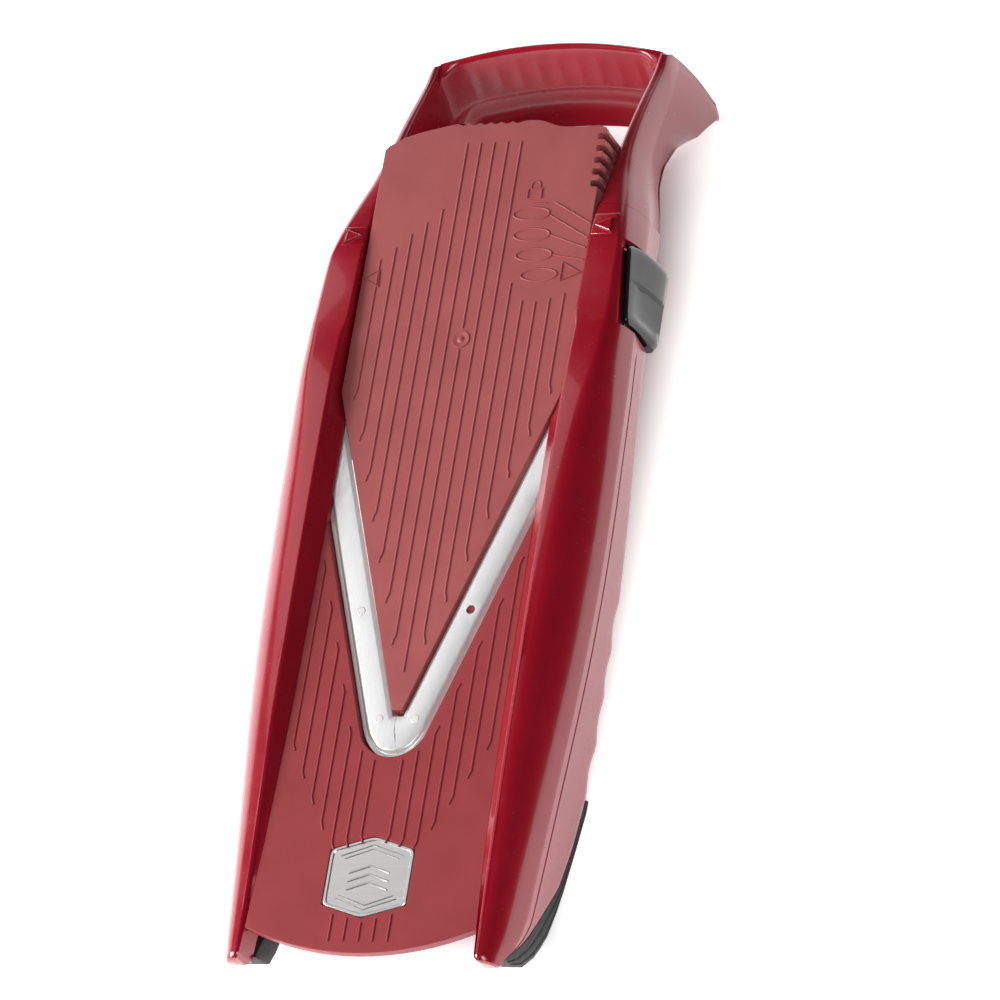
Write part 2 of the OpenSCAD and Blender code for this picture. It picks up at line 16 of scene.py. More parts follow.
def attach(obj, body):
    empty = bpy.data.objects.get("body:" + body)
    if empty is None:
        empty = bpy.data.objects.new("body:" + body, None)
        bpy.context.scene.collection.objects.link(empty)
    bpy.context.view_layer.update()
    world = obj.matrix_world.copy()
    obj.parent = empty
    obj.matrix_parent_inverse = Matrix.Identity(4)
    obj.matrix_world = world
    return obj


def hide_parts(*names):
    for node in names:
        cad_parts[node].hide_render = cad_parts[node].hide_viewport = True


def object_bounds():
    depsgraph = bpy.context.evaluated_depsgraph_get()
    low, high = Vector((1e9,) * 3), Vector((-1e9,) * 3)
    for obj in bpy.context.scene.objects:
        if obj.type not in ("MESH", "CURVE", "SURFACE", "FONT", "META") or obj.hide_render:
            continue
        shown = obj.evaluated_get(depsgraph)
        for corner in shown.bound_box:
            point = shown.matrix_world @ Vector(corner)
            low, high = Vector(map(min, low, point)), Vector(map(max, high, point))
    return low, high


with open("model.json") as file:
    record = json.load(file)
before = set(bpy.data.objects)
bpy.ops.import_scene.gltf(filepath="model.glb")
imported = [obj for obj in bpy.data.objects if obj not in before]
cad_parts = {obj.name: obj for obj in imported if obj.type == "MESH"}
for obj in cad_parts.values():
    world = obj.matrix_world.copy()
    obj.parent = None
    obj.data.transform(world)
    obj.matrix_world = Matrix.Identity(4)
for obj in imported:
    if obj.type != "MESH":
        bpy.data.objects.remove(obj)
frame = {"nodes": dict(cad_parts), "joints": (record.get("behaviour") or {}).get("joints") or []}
cad_low, cad_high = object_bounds()

# ---- plate frame ----
hinge = next(j for j in frame["joints"] if j["name"] == "latch_hinge")
PIVOT = Vector((54.6, 206, -17.4))
TILT = math.atan2(hinge["axis"][1], -hinge["axis"][2])
TO_ROW = (
    Matrix.Translation(hinge["pos_m"])
    @ Matrix.Rotation(TILT, 4, "X")
    @ Matrix.Scale(0.001, 4)
    @ Matrix.Translation(-PIVOT)
)
FLOOR_Z = cad_low.z


def to_row(x, y, z):
    return TO_ROW @ Vector((x, y, z))


# ---- camera: the photograph's viewing angle ----
CAMERA_PLACE = (904, -760, 1791)  # plate frame, mm
CAMERA_RIGHT = (0.914, 0.152, -0.376)
CAMERA_UP = (0.021, 0.908, 0.419)
CAMERA_LENS = 212.9  # mm on the default 36 mm sensor


def make_camera():
    data = bpy.data.cameras.new("camera")
    data.lens = CAMERA_LENS
    data.clip_end = 20
    camera = bpy.data.objects.new("camera", data)
    bpy.context.scene.collection.objects.link(camera)
    turn = Matrix.Rotation(TILT, 3, "X")
    right = turn @ Vector(CAMERA_RIGHT).normalized()
    up = turn @ Vector(CAMERA_UP)
    up = (up - right * up.dot(right)).normalized()
    axes = Matrix((right, up, right.cross(up))).transposed().to_4x4()
    camera.matrix_world = Matrix.Translation(to_row(*CAMERA_PLACE)) @ axes
    bpy.context.scene.camera = camera


make_camera()

# ---- sizes shared with the CAD part ----
WALL = 2.4
RAIL_LOW, RAIL_HIGH = -91, 208  # above RAIL_HIGH the rails turn into the grip's arms
INSERT_ZONE = 120  # above this line the rails follow the insert
BUTTON_LOW, BUTTON_HIGH, BUTTON_GAP = 158, 191, 1.2
NOTCH_X = 59.6  # inner edge of the button's notch, at its upper end
NOTCH_LEAN = 3.4
ARM_INNER, ARM_HIGH = 46.2, 290
LEVER_WINDOW = 241  # up to here the right arm is open underneath for the lever
EDGE_ANGLE = math.radians(18.6)  # between a cutting edge and the long axis
SIN_E, COS_E = math.sin(EDGE_ANGLE), math.cos(EDGE_ANGLE)
SLOPE = 1 / math.tan(EDGE_ANGLE)
EDGE_Y0 = -5.4  # where the two cutting edges would meet
NOSE_Y = -1.5  # centre of the rounded nose of the V
NOSE_R = (NOSE_Y - EDGE_Y0) * SIN_E
EDGE_GAP = 0.7  # between the insert's edge and the cutting edge
GRIP_Y, GRIP_DEPTH = 298, 70.5
FOOT_DEPTH, FOOT_REST_Y = 41.3, -30
PLATE_TOP = 1.3
INSERT_HALF, INSERT_RISE, INSERT_THICK = 45.5, 1.3, 2.6
HALF_WIDTH = 67.6
DRAFT = 1.2  # how far a skirt leans in from its crease to its lower edge
RIB_PITCH = 5.6
BLADE_WIDTH = 12.3
BADGE_Y, BADGE_HALF, BADGE_TIP = -61.9, 16.6, 15.6


# ---- curves through a few stations ----
def lookup(y, table):
    """The value at y, straight between stations and level beyond them."""
    if y <= table[0][0]:
        return table[0][1]
    for (y0, a), (y1, b) in zip(table, table[1:]):
        if y <= y1:
            return a + (b - a) * (y - y0) / (y1 - y0)
    return table[-1][1]


def eased(y, table):
    """A smoothed lookup, the mean of five places 5 mm apart."""
    return sum(lookup(y + d, table) for d in (-10, -5, 0, 5, 10)) / 5


# stations along y: the rails' and arms' side, the crease below the shoulder, the inner face,
# the ridge's place and height, the shoulder's upper edge and the skirt's lower edge
SIDE = [(-100, 50), (-91, 55.5), (-80, 57.9), (-60, 59.4), (-30, 61.8), (0, 64.4),
        (30, 66.4), (60, 67.4), (90, 67.7), (130, 67.3), (160, 66.2), (190, 64),
        (208, 61.6), (218, 59), (231, 55), (245, 53.2), (269, 52.6), (284, 52.2),
        (296, 50), (310, 46)]
WIDEST = max(eased(y, SIDE) for y in range(60, 131, 2))
CREASE = [(-100, 2), (-91, -8), (-80, -13), (-50, -12), (0, -10.4), (60, -9.4),
          (110, -7.6), (160, -7), (190, -11), (208, -15.5), (218, -18.5), (231, -22),
          (245, -25.5), (256, -30), (269, -35), (284, -40.5), (300, -43)]
INNER = [(-91, 46.3), (-50, 44), (0, 42.6), (50, 42.2), (80, 42)]
RIDGE_X = [(-91, 47.3), (-60, 47), (0, 47.6), (100, 48), (156, 48.2), (160, 47),
           (208, 47), (240, 47.4)]
RIDGE_Z = [(-91, PLATE_TOP), (-80, 1.6), (-60, 2.6), (-30, 4.2), (0, 6), (50, 7.4),
           (100, 7.8), (140, 7.6), (160, 5), (190, 4), (200, 2.8), (208, 0.4),
           (217, -3), (230, -7.2), (238, -10), (250, -14.5), (263, -20), (275, -26),
           (283, -30), (296, -34)]
FACET = [(-91, 47.8), (-40, 48), (20, 48.4), (60, 49.6), (80, 50.4), (100, 51.5),
         (120, 53.8), (140, 57), (160, 58.4), (190, 58), (208, 53.4), (225, 50),
         (240, 49), (300, 48.4)]
SKIRT = [(-91, -8.5), (-88.5, -9.6), (-81.7, -15.7), (-77, -19.7), (-64.8, -27),
         (-52.3, -34.3), (-35.4, -38), (-17, -39), (5, -37.6), (24, -35), (41, -33.4),
         (58, -31.9), (79, -29.4), (99, -27), (118, -24.6), (137, -22.8), (150, -22.3),
         (162, -24), (190, -25.5), (208, -27), (228, -27.8), (239, -30.5), (251, -37.7),
         (257, -44.4), (264, -52.9), (282, -67.3), (288, -70.4), (300, -70.4)]
ARM_FLARE = [(208, 0), (228, 1.6), (251, 4.6), (264, 6), (288, 7.2)]
WAVE_PITCH, WAVE_DEPTH, WAVE_TOP = 18, 2.2, 58


def side_x(y):
    """The widest line of a side, scaled so that its greatest x is HALF_WIDTH."""
    return HALF_WIDTH / WIDEST * eased(y, SIDE)


def inner_x(y):
    """The rail's inner face; above the blades it follows the insert's edge outwards."""
    if y > INSERT_ZONE - 1:
        insert_edge = (y - EDGE_Y0 - EDGE_GAP / SIN_E) / SLOPE
        return min(ARM_INNER, max(42, insert_edge + 0.4))
    return lookup(y, INNER)


def wave(y, depth):
    return depth * abs(math.sin(math.pi * (WAVE_TOP - y) / WAVE_PITCH))


def skirt_z(y):
    waved = WAVE_TOP - 4 * WAVE_PITCH < y < WAVE_TOP
    return lookup(y, SKIRT) + (wave(y, WAVE_DEPTH) if waved else 0)


def floor_z(y):
    """Where the table lies in the plate frame."""
    return -FOOT_DEPTH - (y - FOOT_REST_Y) * math.tan(TILT)


def spread(start, end, step):
    """Evenly spaced places from start to end, no more than a step apart."""
    n = max(1, math.ceil((end - start) / step))
    return [start + (end - start) * i / n for i in range(n + 1)]


# ---- meshes ----
def add_mesh(name, shape, material, body, stands_for=(), sharp=32, bevel=0, mirror=False):
    """A piece from a Builder's points. bevel is a rounding radius in millimetres."""
    verts, faces = shape.verts, shape.faces
    if mirror:
        verts = [(-x, y, z) for x, y, z in verts]
        faces = [tuple(reversed(f)) for f in faces]
    mesh = bpy.data.meshes.new(name)
    mesh.from_pydata([TO_ROW @ Vector(v) for v in verts], [], faces)
    mesh.validate()
    solid = bmesh.new()
    solid.from_mesh(mesh)
    bmesh.ops.recalc_face_normals(solid, faces=solid.faces)
    if solid.calc_volume(signed=True) < 0:
        bmesh.ops.reverse_faces(solid, faces=solid.faces)
    solid.to_mesh(mesh)
    solid.free()
    mesh.materials.append(material)
    mesh.shade_smooth()
    mesh.set_sharp_from_angle(angle=math.radians(sharp))
    obj = bpy.data.objects.new(name, mesh)
    bpy.context.scene.collection.objects.link(obj)
    if bevel:
        round_edges(obj, bevel)
    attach(obj, body)
    if stands_for:
        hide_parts(*stands_for)
    return obj


def round_edges(obj, radius):
    bevel = obj.modifiers.new("rounding", "BEVEL")
    bevel.width = radius / 1000
    bevel.segments = 2
    bevel.limit_method = "ANGLE"
    bevel.angle_limit = math.radians(30)
    obj.modifiers.new("shading", "WEIGHTED_NORMAL")


def keep_cad(node, material, rounding=0):
    """Shows a CAD node as it is, with a material and rounded edges."""
    obj = frame["nodes"][node]
    obj.data.materials.clear()
    obj.data.materials.append(material)
    if rounding:
        weld = obj.modifiers.new("weld", "WELD")
        weld.merge_threshold = 1e-6
        round_edges(obj, rounding)
    return obj


class Builder:
    """Collects several solids into one mesh."""

    def __init__(self):
        self.verts, self.faces = [], []

    def loft(self, sections, closed_ends=True, joined=False):
        """Skins closed sections; joined carries the last one on to the first."""
        n, count, start = len(sections[0]), len(sections), len(self.verts)
        for section in sections:
            self.verts += section
        for k in range(count if joined else count - 1):
            for i in range(n):
                j = (i + 1) % n
                a, b = start + k * n, start + (k + 1) % count * n
                self.faces.append((a + i, a + j, b + j, b + i))
        if closed_ends and not joined:
            last = start + (len(sections) - 1) * n
            self.faces.append(tuple(start + i for i in reversed(range(n))))
            self.faces.append(tuple(last + i for i in range(n)))

    def prism(self, outline, low, high):
        self.loft([[(x, y, low) for x, y in outline], [(x, y, high) for x, y in outline]])

    def line(self, path, width=1.1, height=0.45, z=INSERT_RISE, closed=False):
        """A raised line with sloping sides that follows a path on a face at z."""
        rings, n = [], len(path)
        profile = ((1, -0.25), (0.95, 0.08 * height), (0.5, 0.75 * height), (0.2, height),
                   (-0.2, height), (-0.5, 0.75 * height), (-0.95, 0.08 * height), (-1, -0.25))
        for i, (x, y) in enumerate(path):
            before = path[(i - 1) % n] if closed or i else path[i]
            after = path[(i + 1) % n] if closed or i < n - 1 else path[i]
            along = Vector((after[0] - before[0], after[1] - before[1])).normalized()
            across = Vector((-along.y, along.x))
            rings.append([(x + across.x * s * width / 2, y + across.y * s * width / 2, z + h)
                          for s, h in profile])
        self.loft(rings, joined=closed)

    def disc(self, x, y, levels, n=28):
        """A turned shape: radius and height pairs from its foot to the middle of its head."""
        turns = [2 * math.pi * i / n for i in range(n)]
        self.loft([[(x + r * math.cos(a), y + r * math.sin(a), z) for a in turns]
                   for r, z in levels])


def arc(cx, cy, r, start, end, n):
    """Points on a circle, angles in degrees."""
    return [(cx + r * math.cos(math.radians(start + (end - start) * i / n)),
             cy + r * math.sin(math.radians(start + (end - start) * i / n)))
            for i in range(n + 1)]


# ---- materials ----
class Finish:
    """A node material; every texture is driven by object coordinates, in metres."""

    def __init__(self, name, **settings):
        self.material = bpy.data.materials.new(name)
        self.material.use_nodes = True
        self.tree = self.material.node_tree
        self.shader = self.tree.nodes["Principled BSDF"]
        self.coords = self.tree.nodes.new("ShaderNodeTexCoord").outputs["Object"]
        for key, value in settings.items():
            self.shader.inputs[key.replace("_", " ")].default_value = value

    def link(self, a, b):
        self.tree.links.new(a, b)

    def mapping(self, scale=(1, 1, 1), turn=(0, 0, 0)):
        node = self.tree.nodes.new("ShaderNodeMapping")
        node.inputs["Scale"].default_value = scale
        node.inputs["Rotation"].default_value = turn
        self.link(self.coords, node.inputs["Vector"])
        return node.outputs["Vector"]

    def noise(self, scale, detail=2, coords=None):
        node = self.tree.nodes.new("ShaderNodeTexNoise")
        node.inputs["Scale"].default_value = scale
        node.inputs["Detail"].default_value = detail
        self.link(coords or self.coords, node.inputs["Vector"])
        return node.outputs["Fac"]

    def colour(self, source, low, high, edge=0.3):
        """Blends the base colour from low to high between edge and 1 - edge."""
        node = self.tree.nodes.new("ShaderNodeValToRGB")
        for stop, place, tone in zip(node.color_ramp.elements, (edge, 1 - edge), (low, high)):
            stop.position = place
            stop.color = (*tone, 1)
        self.link(source, node.inputs["Fac"])
        self.link(node.outputs["Color"], self.shader.inputs["Base Color"])

    def roughness(self, source, low, high):
        node = self.tree.nodes.new("ShaderNodeMapRange")
        node.inputs["From Min"].default_value = 0.3
        node.inputs["From Max"].default_value = 0.7
        node.inputs["To Min"].default_value = low
        node.inputs["To Max"].default_value = high
        self.link(source, node.inputs["Value"])
        self.link(node.outputs["Result"], self.shader.inputs["Roughness"])

    def bump(self, source, strength, distance):
        node = self.tree.nodes.new("ShaderNodeBump")
        node.inputs["Strength"].default_value = strength
        node.inputs["Distance"].default_value = distance
        self.link(source, node.inputs["Height"])
        self.link(node.outputs["Normal"], self.shader.inputs["Normal"])


def gloss_red():
    f = Finish("frame_gloss_red", Specular_IOR_Level=0.5, Coat_Weight=0.45, Coat_Roughness=0.05)
    f.colour(f.noise(35, 3), (0.3, 0.0015, 0.012), (0.34, 0.0025, 0.016))
    f.roughness(f.noise(160, 4), 0.2, 0.28)
    f.bump(f.noise(260, 1), 0.04, 0.0002)
    return f.material


def satin_red(name, low, high):
    f = Finish(name, Specular_IOR_Level=0.45, Coat_Weight=0.0)
    f.colour(f.noise(70, 4), low, high)
    f.roughness(f.noise(420, 2), 0.4, 0.5)
    f.bump(f.noise(2600, 2), 0.18, 0.00012)
    return f.material


def brushed_steel(name, angle):
    f = Finish(name, Metallic=0.55)
    along = f.mapping((1, 0.03, 1), (0, 0, angle))
    f.colour(f.noise(2200, 3, along), (0.8, 0.8, 0.8), (0.87, 0.87, 0.87), 0.25)
    f.roughness(f.noise(1500, 2, along), 0.28, 0.42)
    f.bump(f.noise(2600, 2, along), 0.12, 0.00006)
    return f.material


def stamped_silver():
    f = Finish("badge_silver", Metallic=1.0)
    along = f.mapping((0.05, 1, 1))
    f.colour(f.noise(900, 3, along), (0.6, 0.59, 0.58), (0.66, 0.65, 0.64))
    f.roughness(f.noise(700, 2, along), 0.3, 0.36)
    f.bump(f.noise(2200, 2, along), 0.06, 0.00005)
    return f.material


def turned_steel():
    f = Finish("pin_turned_steel", Metallic=1.0)
    f.colour(f.noise(1200, 2), (0.6, 0.6, 0.61), (0.78, 0.78, 0.79))
    f.roughness(f.noise(2000, 2), 0.22, 0.38)
    f.bump(f.noise(2400, 2), 0.1, 0.00006)
    return f.material


def rivet_white():
    f = Finish("rivet_pale", Metallic=0.3)
    f.colour(f.noise(1200, 2), (0.78, 0.76, 0.76), (0.9, 0.89, 0.89))
    f.roughness(f.noise(1500, 2), 0.3, 0.42)
    f.bump(f.noise(2400, 2), 0.08, 0.00006)
    return f.material


def gloss_black():
    f = Finish("button_gloss_black", Specular_IOR_Level=0.5, Coat_Weight=0.35,
               Coat_Roughness=0.04)
    f.colour(f.noise(90, 3), (0.004, 0.004, 0.005), (0.008, 0.008, 0.009))
    f.roughness(f.noise(220, 3), 0.14, 0.22)
    f.bump(f.noise(320, 1), 0.05, 0.0004)
    return f.material


def dull_dark(name, low, high, rough_low, rough_high, grain):
    f = Finish(name)
    f.colour(f.noise(grain / 6, 3), low, high)
    f.roughness(f.noise(grain / 2, 2), rough_low, rough_high)
    f.bump(f.noise(grain, 3), 0.3, 0.00015)
    return f.material


FRAME = gloss_red()
RUNWAY = satin_red("runway_satin_red", (0.29, 0.026, 0.03), (0.33, 0.034, 0.037))
INSERT = satin_red("insert_satin_red", (0.36, 0.076, 0.076), (0.4, 0.09, 0.088))
STEEL_LEFT = brushed_steel("blade_brushed_left", -EDGE_ANGLE)
STEEL_RIGHT = brushed_steel("blade_brushed_right", EDGE_ANGLE)
SILVER = stamped_silver()
PIN = turned_steel()
PALE = rivet_white()
BLACK = gloss_black()
LATCH = dull_dark("latch_dark_plastic", (0.02, 0.02, 0.022), (0.035, 0.035, 0.038), 0.42, 0.55, 1500)
RUBBER = dull_dark("foot_rubber", (0.018, 0.018, 0.019), (0.036, 0.036, 0.038), 0.55, 0.72, 2200)


# ---- side shells: rail, skirt and arm of one moulding ----
def ridge_z(y):
    return eased(y, RIDGE_Z)


def crease_z(y):
    return eased(y, CREASE)


def flare(y):
    return lookup(y, [(196, -DRAFT)] + ARM_FLARE)


SHOULDER_END = math.radians(74)
SHOULDER_STEPS = 14
LEDGE_LOW, SHELF = -0.6, 0.1  # lower edge and step of the inner wall beside the insert


def shoulder_point(y, part, inset=0.0):
    """Part 0 is the top of the shoulder, part 1 its crease."""
    x0, z0 = lookup(y, FACET), ridge_z(y) - 0.2 - inset
    if inset:
        x0 = max(x0, inner_x(y) + inset + 0.4)
    x1, z1 = side_x(y) - inset, crease_z(y)
    a = SHOULDER_END * part
    s, c = math.sin(SHOULDER_END), math.cos(SHOULDER_END)
    return (x0 + (x1 - x0) * math.sin(a) / s, z1 + (z0 - z1) * (math.cos(a) - c) / (1 - c))


def ridge_lip(y, low, step):
    """Upright inner face and the rounded ridge above it."""
    rx, rz, xi = lookup(y, RIDGE_X), ridge_z(y), inner_x(y)
    if y > RAIL_HIGH:
        rx = xi + 1.3
    return [(xi, low), (xi, step), (max(xi + 0.1, rx - 1.1), rz - 1.1),
            (max(xi + 0.3, rx - 0.7), rz - 0.4), (rx - 0.1, rz - 0.05), (rx + 0.5, rz)]


SEAM_DEPTH, SEAM_DROP = 0.35, 4.6  # parting groove, and how far it lies below the crease


def skirt_face(y, grooved):
    """Outer face of the skirt from the crease down, with its parting groove."""
    top, low = crease_z(y), min(skirt_z(y), crease_z(y) - 1)
    x, out = side_x(y), flare(y)
    cut = SEAM_DEPTH if grooved else 0.0

    def at(z, inset=0.0):
        part = min(1.0, (top - z) / (top - low))
        bow = 0.5 * math.sin(math.pi * part) if y > RAIL_HIGH else 0.0
        return (x + out * part - inset - bow, max(z, low + 0.9))

    seam = min(SEAM_DROP, (top - low) * 0.5)
    marks = [0.25, 1.4, seam - 0.5, seam - 0.25, seam + 0.25, seam + 0.5]
    points = [at(top - d, cut if i in (3, 4) else 0.0) for i, d in enumerate(marks)]
    for part in (0.3, 0.5, 0.7, 0.9):
        points.append(at(top - seam - 0.6 - (top - low - seam - 1.6) * part))
    edge = x + out
    return points + [(edge, low + 0.9), (edge - 0.25, low + 0.25), (edge - 0.9, low)]


def shell_section(y, cut):
    """Section through a rail with its skirt, or an arm; cut opens it under the lever."""
    arm = y > RAIL_HIGH
    low_edge = min(skirt_z(y), crease_z(y) - 1)
    if arm:
        low = low_edge + 1
        if cut:
            # the wall is open under the lever and closes gently above it
            low += (ridge_z(y) - 2.6 - low) * lookup(y, [(LEVER_WINDOW, 1), (253, 0)])
        step = ridge_z(y) - 2
    else:
        low = lookup(y, [(120, -10), (121, -6), (134, -6), (135, LEDGE_LOW)])
        step = SHELF if y > INSERT_ZONE else PLATE_TOP
    grooved = -88 < y < 150
    outer = ridge_lip(y, low, step)
    outer += [shoulder_point(y, k / SHOULDER_STEPS) for k in range(SHOULDER_STEPS + 1)]
    outer += skirt_face(y, grooved)
    roof = [shoulder_point(y, k / 6, WALL) for k in range(6, -1, -1)]
    xw, under = inner_x(y) + WALL, ridge_z(y) - WALL
    roof += [(max(lookup(y, RIDGE_X) + 0.8, xw + 0.2), under),
             (xw, max(low + 0.1, min(step - 0.3, under - 0.1))), (xw, low)]
    if arm:
        fill = lookup(y, [(240, 0), (249, 1)])
        closed = low_edge + 1.2
        roof = [(px, pz + (closed - pz) * fill) for px, pz in roof]
        roof = [(px, max(pz, closed if k < 7 else pz)) for k, (px, pz) in enumerate(roof)]
    wall_x = side_x(y) + flare(y) - WALL
    return outer + [(wall_x, low_edge)] + roof


def notch_x(y):
    """Inner edge of the button's notch, which leans outwards towards its lower end."""
    return NOTCH_X + NOTCH_LEAN * lookup(y, [(BUTTON_LOW, 1), (BUTTON_HIGH, 0)])


def notch_section(y):
    """Section through the right rail where the button's notch takes its side away."""
    cut = notch_x(y)
    full = (cut - lookup(y, FACET)) / (side_x(y) - lookup(y, FACET))
    part = min(1.0, math.asin(min(1, full * math.sin(SHOULDER_END))) / SHOULDER_END)
    outer = ridge_lip(y, LEDGE_LOW, SHELF)
    outer += [shoulder_point(y, part * k / SHOULDER_STEPS) for k in range(SHOULDER_STEPS + 1)]
    outer[-1] = (cut - 0.3, outer[-1][1])
    outer.append((cut, outer[-1][1] - 0.4))
    end_z = outer[-1][1] - WALL
    xw, under = inner_x(y) + WALL, ridge_z(y) - WALL
    return outer + [(cut, end_z), (lookup(y, FACET), under),
                    (max(lookup(y, RIDGE_X) + 0.8, xw + 0.2), under),
                    (xw, min(-0.2, under - 0.1)), (xw, LEDGE_LOW)]


def crown(x):
    """The grip's crest seen from above."""
    return GRIP_Y - 7.5 * (x / 50) ** 2


def crown_y(x, z):
    return crown(x) + lookup(z, [(-GRIP_DEPTH, -7), (3.4 - GRIP_DEPTH, -2.2), (-56, 0.8),
                                 (-44, 1.2), (-34.5, 0), (-30, -3)])


def leaned(x, y, z):
    """Arms lean back over their length to meet the grip's crown."""
    if y > RAIL_HIGH:
        y += (crown_y(x, z) - ARM_HIGH) * ((y - RAIL_HIGH) / (ARM_HIGH - RAIL_HIGH)) ** 2
    return (x, y, max(z, floor_z(y)))


TIP_MIDDLE_X, TIP_MIDDLE_Z = 51, -3.5
TIP_RINGS = ((2.3, 0.5), (1.9, 0.8), (1.1, 0.94), (0, 1))  # distance past the end, and size
ARM_END = Vector((50.5, 0, -52))  # middle of the arm's end face


def side_shell(name, nodes, cut, mirror):
    """One side of the frame, from the rail's rounded tip to the end of the arm."""
    b = Builder()

    def full(y):
        return shell_section(y, cut)

    def run(ys, section=full):
        b.loft([[leaned(px, y, pz) for px, pz in section(y)] for y in ys])

    outline = [(px, max(pz, -8.5)) for px, pz in full(RAIL_LOW)[:SHOULDER_STEPS + 20]]
    b.loft([[(TIP_MIDDLE_X + (px - TIP_MIDDLE_X) * size, RAIL_LOW - past,
              TIP_MIDDLE_Z + (pz - TIP_MIDDLE_Z) * size) for px, pz in outline]
            for past, size in TIP_RINGS])
    low_part = spread(RAIL_LOW, INSERT_ZONE - 1, 3)
    low_part += spread(INSERT_ZONE + 1, BUTTON_LOW - BUTTON_GAP, 3)
    button_part = spread(BUTTON_LOW - BUTTON_GAP, BUTTON_HIGH + BUTTON_GAP, 3)
    high_part = spread(BUTTON_HIGH + BUTTON_GAP, RAIL_HIGH - 0.05, 3)
    if cut:
        run(low_part)
        run(button_part, notch_section)
        run(high_part)
    else:
        run(low_part + button_part[1:-1] + high_part)
    ys = spread(RAIL_HIGH + 0.05, LEVER_WINDOW - 0.1, 3)
    ys += spread(LEVER_WINDOW + 0.1, ARM_HIGH, 2.5)
    rings = [[leaned(px, y, pz) for px, pz in full(y)] for y in ys]
    # the end of the arm turns in softly to the grip's crown
    last = rings[-1]
    rings[-1] = [(px, py - 0.9, max(pz, floor_z(py - 0.9))) for px, py, pz in last]
    for size, back in ((0.99, 0.25), (0.96, 0)):
        ring = []
        for px, py, pz in last:
            qx = ARM_END.x + (px - ARM_END.x) * (size if px > 47 else 1)
            qz = ARM_END.z + (pz - ARM_END.z) * size
            ring.append((qx, py - back, max(qz, floor_z(py - back))))
        rings.append(ring)
    b.loft(rings, closed_ends=False)
    # the outer end closes to a point, the inner one with a flat face
    n = len(last)
    base = len(b.verts) - n
    b.verts.append((ARM_END.x, crown_y(ARM_END.x, ARM_END.z), ARM_END.z))
    b.faces += [(base + i, base + (i + 1) % n, base + n) for i in range(n)]
    first = base - (len(rings) - 1) * n
    b.faces.append(tuple(first + i for i in reversed(range(n))))
    add_mesh(name, b, FRAME, "frame", nodes, sharp=30, mirror=mirror)


side_shell("right_side_shell", ("right_rail", "right_skirt", "right_arm"), True, False)
side_shell("left_side_shell", ("left_rail", "left_skirt", "left_arm"), False, True)


# ---- grip ----
FINGER_PITCH = 8.4
CORNER_START, CORNER_R = 36.5, 9.8  # where the grip's inner face curves towards an arm


def grip_section(x):
    y0 = crown(x)
    fingers = abs(x) < 4.5 * FINGER_PITCH + 0.1
    scoop = 0.35 * abs(math.sin(math.pi * x / FINGER_PITCH)) if fingers else 0.0
    reach = max(0.0, abs(x) - CORNER_START)
    corner = CORNER_R * (1 - math.sqrt(max(0.0, 1 - (reach / CORNER_R) ** 2)))
    ledge = 0.7 * scoop
    # offset from the crest, height, and how far the corner beside the arm pulls the point
    # in; the lower lip tapers away there instead
    inner = [(-18.6, -67.9, -0.6), (-17, -66.3, -0.55), (-13.6, -63.4, -0.2), (-11, -60, 0.2),
             (-9.8, -56.5, 0.6), (-9.6, -54.2, 0.9), (-9.9, -52.5, 1),
             (-9.9 + 0.4 * ledge, -51.3, 1), (-9.5 + ledge, -50, 1),
             (-8 + 1.4 * ledge, -46.5, 1), (-6.4 + ledge, -42.5, 1), (-5 + 0.5 * ledge, -38.8, 1),
             (-4, -36.2, 1), (-3.3, -34.7, 1), (-2.8, -33.6, 0.9), (-2, -33, 0.7)]
    outer = [(-1.2, -33, 0.3), (-0.5, -33.5, 0), (0, -34.5, 0), (0.8, -39, 0), (1.2, -44, 0),
             (1.15, -50, 0), (0.8, -56, 0), (-0.5, -62, 0), (-2.2, 3.4 - GRIP_DEPTH, 0),
             (-4, 1.3 - GRIP_DEPTH, 0), (-6.6, -GRIP_DEPTH, 0), (-9.5, -GRIP_DEPTH, 0),
             (-14.6, -GRIP_DEPTH, -0.35), (-17.9, 1.1 - GRIP_DEPTH, -0.58)]
    points = []
    for dy, z, pull in inner + outer:
        y = y0 + dy - corner * pull
        points.append((x, y, max(z, floor_z(y) + (0.02 if z > -GRIP_DEPTH else 0))))
    return points


grip = Builder()
GRIP_END = ARM_INNER + 0.3
grip.loft([grip_section(x) for x in spread(-GRIP_END, GRIP_END, FINGER_PITCH / 10)])
add_mesh("grip_shell", grip, FRAME, "frame", ("hand_grip",),
         sharp=34)

# ---- run-out plate and its raised lines ----
keep_cad("run_out_plate", RUNWAY, 0.35)
keep_cad("left_guide", FRAME, 0.2)
keep_cad("right_guide", FRAME, 0.2)

FLANGE_R = NOSE_R + BLADE_WIDTH
RUN_OUT_ENDS = {1: -46, 2: -47.5, 3: -48.4, 4: -40.9, 5: -31, 6: -21, 7: -10}


def run_out_line(k):
    """Path of line k, which starts beside the blades and bends aside at its ends."""
    x, side, bottom = k * RIB_PITCH, math.copysign(1, k), RUN_OUT_ENDS[abs(k)]
    beside_nose = abs(x) < 12
    if beside_nose:
        top = NOSE_Y - math.sqrt((FLANGE_R + 2.6) ** 2 - x * x)
    else:
        top = -56.5 + SLOPE * abs(x)
    path = [] if beside_nose else [(x + side * 1.1, top + 3.1)]
    path += [(x, top), (x, bottom), (x - side * 1.1, bottom - 2.9)]
    return path if top - bottom >= 4 else None


lines = Builder()
for k in (*range(-7, 0), *range(1, 8)):
    path = run_out_line(k)
    if path:
        lines.line(path, height=0.42, z=PLATE_TOP)
for x in (-11.6, -5.7, 0.2, 5.8, 11.7):
    below_badge = BADGE_Y - BADGE_TIP - 2 + abs(x) * 0.28
    lines.line([(x, below_badge), (x, -86.6)], height=0.42, z=PLATE_TOP)
add_mesh("runway_lines", lines, RUNWAY, "frame", sharp=40)


